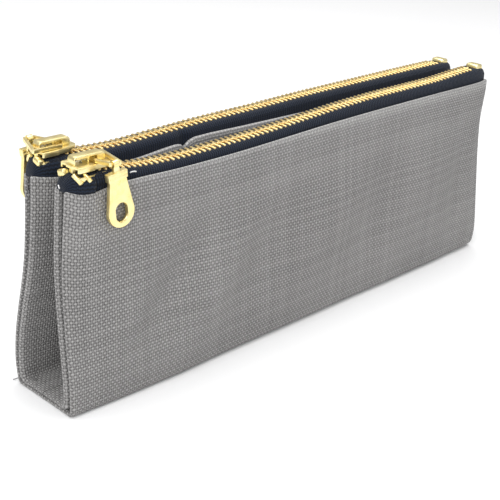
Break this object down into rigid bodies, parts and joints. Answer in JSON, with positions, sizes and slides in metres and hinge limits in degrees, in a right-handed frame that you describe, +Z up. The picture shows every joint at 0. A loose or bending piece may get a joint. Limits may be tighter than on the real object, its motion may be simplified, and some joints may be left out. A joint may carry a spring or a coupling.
{
  "type": "pencil case",
  "caption": "Twin canvas pencil case: slim zipped pouches on one shared base, with metal zips, sliders and hanging pull tabs.",
  "frame": {"origin": "middle of the base, on the surface the case stands on", "axes": "+X along the case from the closed end of the zips to their open end, -Y out of the front pouch, +Z up"},
  "size_m": [0.2, 0.0328, 0.0764],
  "materials": {
    "canvas": "plain-woven heavy canvas, mid grey",
    "canvas_lining": "plain-woven heavy canvas, mid grey, inner panel",
    "zip_tape": "close-woven navy zip tape",
    "zip_teeth": "polished pale brass",
    "pull_brass": "polished pale brass plating, softly worn",
    "spring_steel": "sprung strip steel",
    "thread": "matt sewing thread"
  },
  "bodies": {
    "base": {"base_panel": "canvas", "base_lining": "canvas_lining", "base_left_seam": "canvas", "base_right_seam": "canvas", "corner_tacks": "thread"},
    "front_pouch": {"front_outer_wall": "canvas", "front_inner_wall": "canvas_lining", "front_left_seam": "canvas", "front_right_seam": "canvas", "front_tape_ends": "zip_tape", "front_top_stops": "zip_teeth", "front_bottom_stop": "zip_teeth"},
    "front_outer_lip": {"front_outer_tape": "zip_tape", "front_outer_teeth": "zip_teeth"},
    "front_inner_lip": {"front_inner_tape": "zip_tape", "front_inner_teeth": "zip_teeth"},
    "front_slider": {"front_slider_body": "pull_brass", "front_crown": "pull_brass", "front_lock_spring": "spring_steel"},
    "front_link": {"front_link": "pull_brass"},
    "front_tab": {"front_pull_tab": "pull_brass"},
    "rear_pouch": {"rear_outer_wall": "canvas", "rear_inner_wall": "canvas_lining", "rear_left_seam": "canvas", "rear_right_seam": "canvas", "rear_tape_ends": "zip_tape", "rear_top_stops": "zip_teeth", "rear_bottom_stop": "zip_teeth"},
    "rear_outer_lip": {"rear_outer_tape": "zip_tape", "rear_outer_teeth": "zip_teeth"},
    "rear_inner_lip": {"rear_inner_tape": "zip_tape", "rear_inner_teeth": "zip_teeth"},
    "rear_slider": {"rear_slider_body": "pull_brass", "rear_crown": "pull_brass", "rear_lock_spring": "spring_steel"},
    "rear_link": {"rear_link": "pull_brass"},
    "rear_tab": {"rear_pull_tab": "pull_brass"}
  },
  "joints": [
    {"name": "front_tilt", "type": "hinge", "parent": "base", "child": "front_pouch", "pos_m": [0, -0.0125, 0.0015], "axis": [1, 0, 0], "range_deg": [0, 75]},
    {"name": "front_zip", "type": "slide", "parent": "front_pouch", "child": "front_slider", "axis": [1, 0, 0], "range_m": [0, 0.176], "deforming": ["front_outer_tape", "front_inner_tape", "front_outer_teeth", "front_inner_teeth"]},
    {"name": "front_outer_lip_open", "type": "hinge", "parent": "front_pouch", "child": "front_outer_lip", "pos_m": [0, -0.013, 0.066], "axis": [1, 0, 0], "range_deg": [0, 39]},
    {"name": "front_inner_lip_open", "type": "hinge", "parent": "front_pouch", "child": "front_inner_lip", "pos_m": [0, -0.0038, 0.066], "axis": [-1, 0, 0], "range_deg": [0, 25]},
    {"name": "front_link_lift", "type": "hinge", "parent": "front_slider", "child": "front_link", "pos_m": [-0.0899, -0.0079, 0.0747], "axis": [0, -1, 0], "range_deg": [0, 100]},
    {"name": "front_tab_swing", "type": "hinge", "parent": "front_link", "child": "front_tab", "pos_m": [-0.0873, -0.01541, 0.0747], "axis": [-1, 0, 0], "range_deg": [0, 95]},
    {"name": "rear_tilt", "type": "hinge", "parent": "base", "child": "rear_pouch", "pos_m": [0, 0.0125, 0.0015], "axis": [-1, 0, 0], "range_deg": [0, 75]},
    {"name": "rear_zip", "type": "slide", "parent": "rear_pouch", "child": "rear_slider", "axis": [1, 0, 0], "range_m": [0, 0.176], "deforming": ["rear_outer_tape", "rear_inner_tape", "rear_outer_teeth", "rear_inner_teeth"]},
    {"name": "rear_outer_lip_open", "type": "hinge", "parent": "rear_pouch", "child": "rear_outer_lip", "pos_m": [0, 0.013, 0.066], "axis": [-1, 0, 0], "range_deg": [0, 39]},
    {"name": "rear_inner_lip_open", "type": "hinge", "parent": "rear_pouch", "child": "rear_inner_lip", "pos_m": [0, 0.0038, 0.066], "axis": [1, 0, 0], "range_deg": [0, 25]},
    {"name": "rear_link_lift", "type": "hinge", "parent": "rear_slider", "child": "rear_link", "pos_m": [-0.0899, 0.0079, 0.0747], "axis": [0, 1, 0], "range_deg": [0, 100]},
    {"name": "rear_tab_swing", "type": "hinge", "parent": "rear_link", "child": "rear_tab", "pos_m": [-0.0931, 0.01541, 0.0747], "axis": [1, 0, 0], "range_deg": [0, 95]}
  ],
  "couplings": [
    {"joint": "front_outer_lip_open", "follows": "front_zip", "rad_per_m": 3.7683},
    {"joint": "front_inner_lip_open", "follows": "front_zip", "rad_per_m": 2.38},
    {"joint": "rear_outer_lip_open", "follows": "rear_zip", "rad_per_m": 3.7683},
    {"joint": "rear_inner_lip_open", "follows": "rear_zip", "rad_per_m": 2.38}
  ]
}
